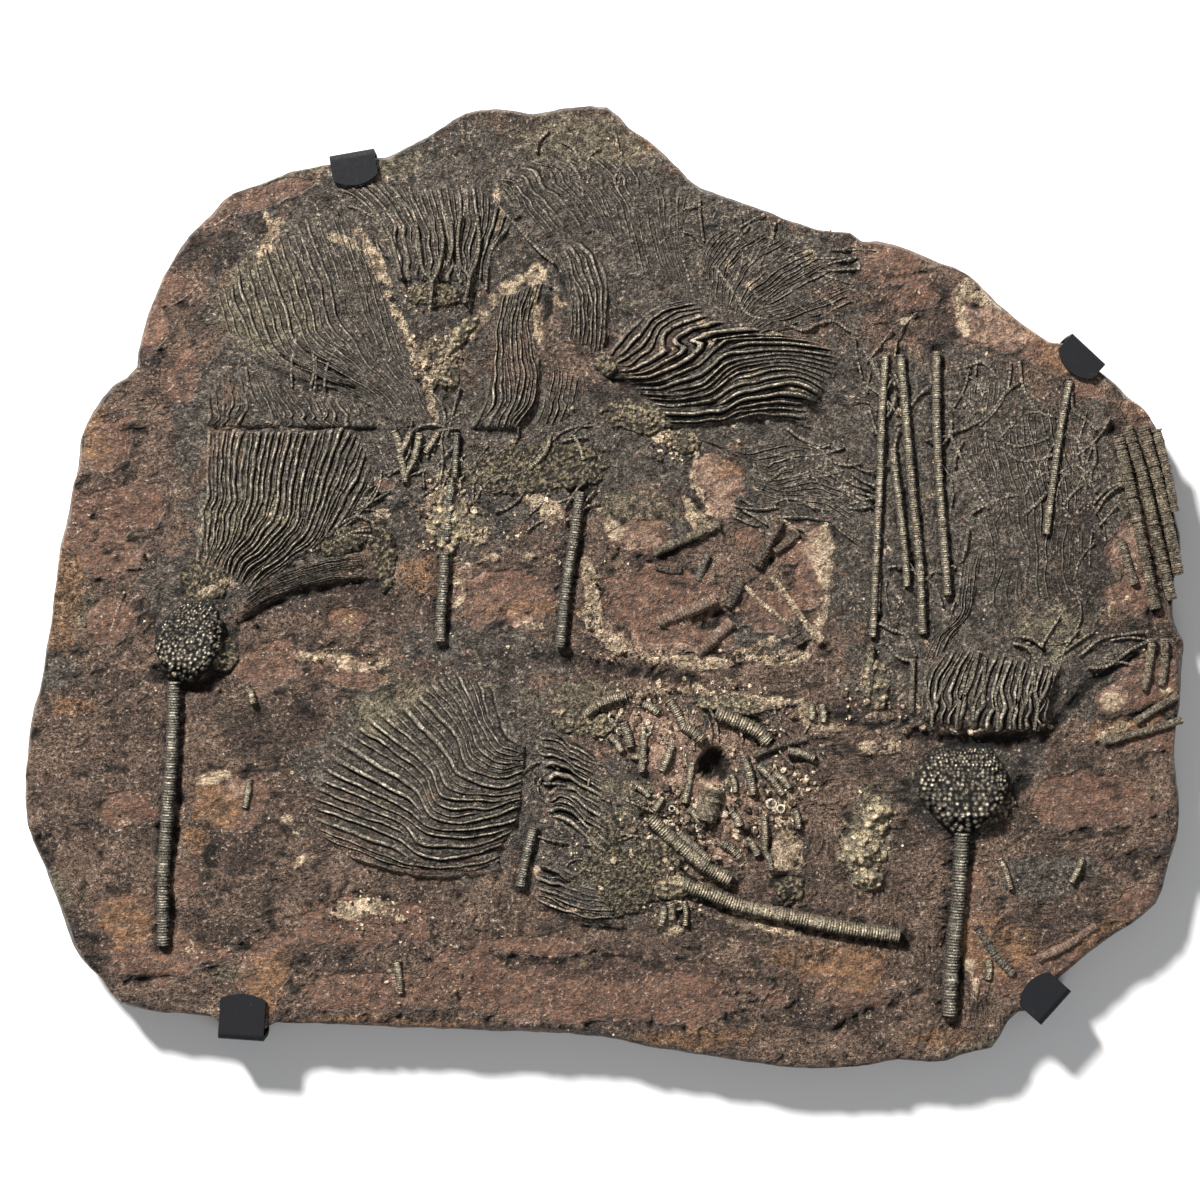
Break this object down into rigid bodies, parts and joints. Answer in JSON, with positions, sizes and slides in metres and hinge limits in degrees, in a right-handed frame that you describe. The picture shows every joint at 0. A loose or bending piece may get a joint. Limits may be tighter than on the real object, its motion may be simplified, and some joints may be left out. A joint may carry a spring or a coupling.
{
  "type": "crinoid fossil slab",
  "caption": "Irregular slab of fossil sea lilies in brown rock: feathery crowns, cups and ringed stems in relief, held at its rim by bent steel clips.",
  "frame": {"origin": "centre of the plan box, in the plane under the clips' back legs", "axes": "+X along the slab's length, +Y towards its domed upper edge, +Z out of the fossil face"},
  "size_m": [1.033, 0.8602, 0.0588],
  "materials": {
    "fossil_rock": "matte",
    "black_steel": "satin"
  },
  "bodies": {
    "root": {"slab": "fossil_rock", "clip_top_left": "black_steel", "clip_top_right": "black_steel", "clip_bottom_left": "black_steel", "clip_bottom_right": "black_steel"}
  },
  "joints": []
}
